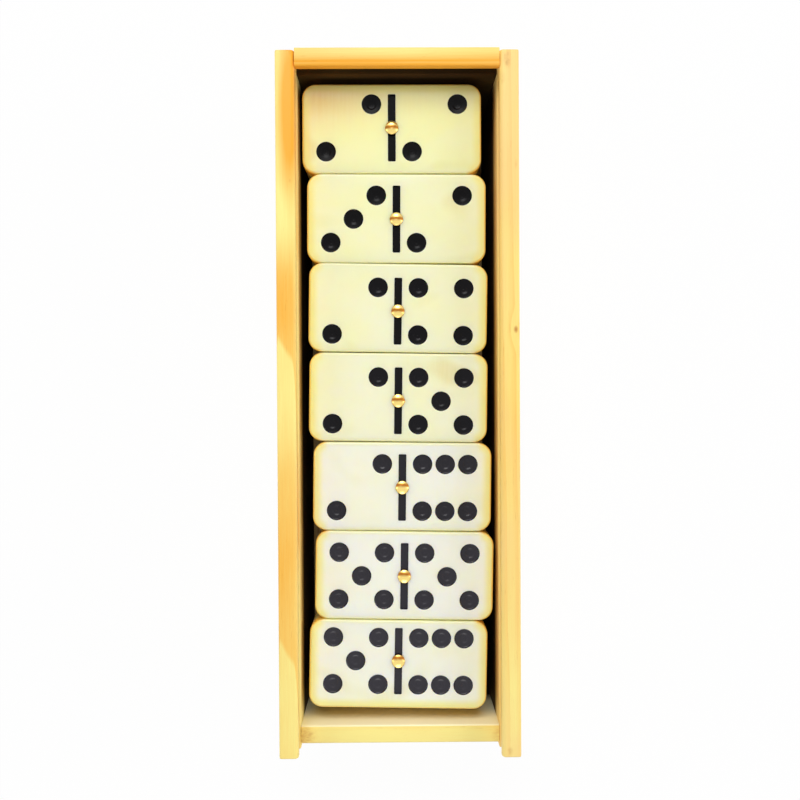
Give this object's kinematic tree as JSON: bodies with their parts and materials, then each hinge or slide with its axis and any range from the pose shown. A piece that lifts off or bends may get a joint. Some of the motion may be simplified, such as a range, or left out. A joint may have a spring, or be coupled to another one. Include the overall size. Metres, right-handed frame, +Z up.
{
  "type": "domino storage box",
  "caption": "Open pine box with grooves for a sliding lid, packed with layers of ivory domino tiles that lift out, each pinned with a brass spinner.",
  "frame": {"origin": "middle of the box's underside", "axes": "+Z up out of the open top, +Y along the box to the far end board, +X across the box to its right side board as seen from the near end"},
  "size_m": [0.067, 0.196, 0.0544],
  "materials": {
    "pine": "clear satin lacquer over planed pine",
    "plywood": "bare sanded plywood",
    "steel_wire": "bright drawn wire",
    "ivory_resin": "polished cast resin with black painted pips",
    "brass": "polished brass"
  },
  "bodies": {
    "box": {"side_board_left": "pine", "side_board_right": "pine", "far_end_board": "pine", "near_end_board": "pine", "bottom_panel": "plywood", "corner_brads": "steel_wire"},
    "domino_0_0": {"tile_0_0": "ivory_resin"},
    "domino_0_1": {"tile_0_1": "ivory_resin"},
    "domino_0_2": {"tile_0_2": "ivory_resin"},
    "domino_0_3": {"tile_0_3": "ivory_resin"},
    "domino_0_4": {"tile_0_4": "ivory_resin"},
    "domino_0_5": {"tile_0_5": "ivory_resin"},
    "domino_0_6": {"tile_0_6": "ivory_resin"},
    "domino_1_1": {"tile_1_1": "ivory_resin", "spinner_1_1": "brass"},
    "domino_1_2": {"tile_1_2": "ivory_resin", "spinner_1_2": "brass"},
    "domino_1_3": {"tile_1_3": "ivory_resin", "spinner_1_3": "brass"},
    "domino_1_4": {"tile_1_4": "ivory_resin", "spinner_1_4": "brass"},
    "domino_1_5": {"tile_1_5": "ivory_resin", "spinner_1_5": "brass"},
    "domino_1_6": {"tile_1_6": "ivory_resin", "spinner_1_6": "brass"},
    "domino_6_6": {"tile_6_6": "ivory_resin", "spinner_6_6": "brass"},
    "domino_3_3": {"tile_3_3": "ivory_resin", "spinner_3_3": "brass"},
    "domino_3_4": {"tile_3_4": "ivory_resin", "spinner_3_4": "brass"},
    "domino_3_5": {"tile_3_5": "ivory_resin", "spinner_3_5": "brass"},
    "domino_3_6": {"tile_3_6": "ivory_resin", "spinner_3_6": "brass"},
    "domino_4_4": {"tile_4_4": "ivory_resin", "spinner_4_4": "brass"},
    "domino_4_5": {"tile_4_5": "ivory_resin", "spinner_4_5": "brass"},
    "domino_4_6": {"tile_4_6": "ivory_resin", "spinner_4_6": "brass"},
    "domino_2_2": {"tile_2_2": "ivory_resin", "spinner_2_2": "brass"},
    "domino_2_3": {"tile_2_3": "ivory_resin", "spinner_2_3": "brass"},
    "domino_2_4": {"tile_2_4": "ivory_resin", "spinner_2_4": "brass"},
    "domino_2_5": {"tile_2_5": "ivory_resin", "spinner_2_5": "brass"},
    "domino_2_6": {"tile_2_6": "ivory_resin", "spinner_2_6": "brass"},
    "domino_5_5": {"tile_5_5": "ivory_resin", "spinner_5_5": "brass"},
    "domino_5_6": {"tile_5_6": "ivory_resin", "spinner_5_6": "brass"}
  },
  "joints": [
    {"name": "lift_0_0", "type": "slide", "parent": "box", "child": "domino_0_0", "axis": [0, 0, 1], "range_m": [0, 0.0564]},
    {"name": "lift_0_1", "type": "slide", "parent": "box", "child": "domino_0_1", "axis": [0, 0, 1], "range_m": [0, 0.0564]},
    {"name": "lift_0_2", "type": "slide", "parent": "box", "child": "domino_0_2", "axis": [0, 0, 1], "range_m": [0, 0.0564]},
    {"name": "lift_0_3", "type": "slide", "parent": "box", "child": "domino_0_3", "axis": [0, 0, 1], "range_m": [0, 0.0564]},
    {"name": "lift_0_4", "type": "slide", "parent": "box", "child": "domino_0_4", "axis": [0, 0, 1], "range_m": [0, 0.0564]},
    {"name": "lift_0_5", "type": "slide", "parent": "box", "child": "domino_0_5", "axis": [0, 0, 1], "range_m": [0, 0.0564]},
    {"name": "lift_0_6", "type": "slide", "parent": "box", "child": "domino_0_6", "axis": [0, 0, 1], "range_m": [0, 0.0564]},
    {"name": "lift_1_1", "type": "slide", "parent": "domino_0_0", "child": "domino_1_1", "axis": [0, 0, 1], "range_m": [0, 0.0454]},
    {"name": "lift_1_2", "type": "slide", "parent": "domino_0_1", "child": "domino_1_2", "axis": [0, 0, 1], "range_m": [0, 0.0454]},
    {"name": "lift_1_3", "type": "slide", "parent": "domino_0_2", "child": "domino_1_3", "axis": [0, 0, 1], "range_m": [0, 0.0454]},
    {"name": "lift_1_4", "type": "slide", "parent": "domino_0_3", "child": "domino_1_4", "axis": [0, 0, 1], "range_m": [0, 0.0454]},
    {"name": "lift_1_5", "type": "slide", "parent": "domino_0_4", "child": "domino_1_5", "axis": [0, 0, 1], "range_m": [0, 0.0454]},
    {"name": "lift_1_6", "type": "slide", "parent": "domino_0_5", "child": "domino_1_6", "axis": [0, 0, 1], "range_m": [0, 0.0454]},
    {"name": "lift_6_6", "type": "slide", "parent": "domino_0_6", "child": "domino_6_6", "axis": [0, 0, 1], "range_m": [0, 0.0454]},
    {"name": "lift_3_3", "type": "slide", "parent": "domino_1_1", "child": "domino_3_3", "axis": [0, 0, 1], "range_m": [0, 0.0344]},
    {"name": "lift_3_4", "type": "slide", "parent": "domino_1_2", "child": "domino_3_4", "axis": [0, 0, 1], "range_m": [0, 0.0344]},
    {"name": "lift_3_5", "type": "slide", "parent": "domino_1_3", "child": "domino_3_5", "axis": [0, 0, 1], "range_m": [0, 0.0344]},
    {"name": "lift_3_6", "type": "slide", "parent": "domino_1_4", "child": "domino_3_6", "axis": [0, 0, 1], "range_m": [0, 0.0344]},
    {"name": "lift_4_4", "type": "slide", "parent": "domino_1_5", "child": "domino_4_4", "axis": [0, 0, 1], "range_m": [0, 0.0344]},
    {"name": "lift_4_5", "type": "slide", "parent": "domino_1_6", "child": "domino_4_5", "axis": [0, 0, 1], "range_m": [0, 0.0344]},
    {"name": "lift_4_6", "type": "slide", "parent": "domino_6_6", "child": "domino_4_6", "axis": [0, 0, 1], "range_m": [0, 0.0344]},
    {"name": "lift_2_2", "type": "slide", "parent": "domino_3_3", "child": "domino_2_2", "axis": [0, 0, 1], "range_m": [0, 0.0234]},
    {"name": "lift_2_3", "type": "slide", "parent": "domino_3_4", "child": "domino_2_3", "axis": [0, 0, 1], "range_m": [0, 0.0234]},
    {"name": "lift_2_4", "type": "slide", "parent": "domino_3_5", "child": "domino_2_4", "axis": [0, 0, 1], "range_m": [0, 0.0234]},
    {"name": "lift_2_5", "type": "slide", "parent": "domino_3_6", "child": "domino_2_5", "axis": [0, 0, 1], "range_m": [0, 0.0234]},
    {"name": "lift_2_6", "type": "slide", "parent": "domino_4_4", "child": "domino_2_6", "axis": [0, 0, 1], "range_m": [0, 0.0234]},
    {"name": "lift_5_5", "type": "slide", "parent": "domino_4_5", "child": "domino_5_5", "axis": [0, 0, 1], "range_m": [0, 0.0234]},
    {"name": "lift_5_6", "type": "slide", "parent": "domino_4_6", "child": "domino_5_6", "axis": [0, 0, 1], "range_m": [0, 0.0234]}
  ]
}
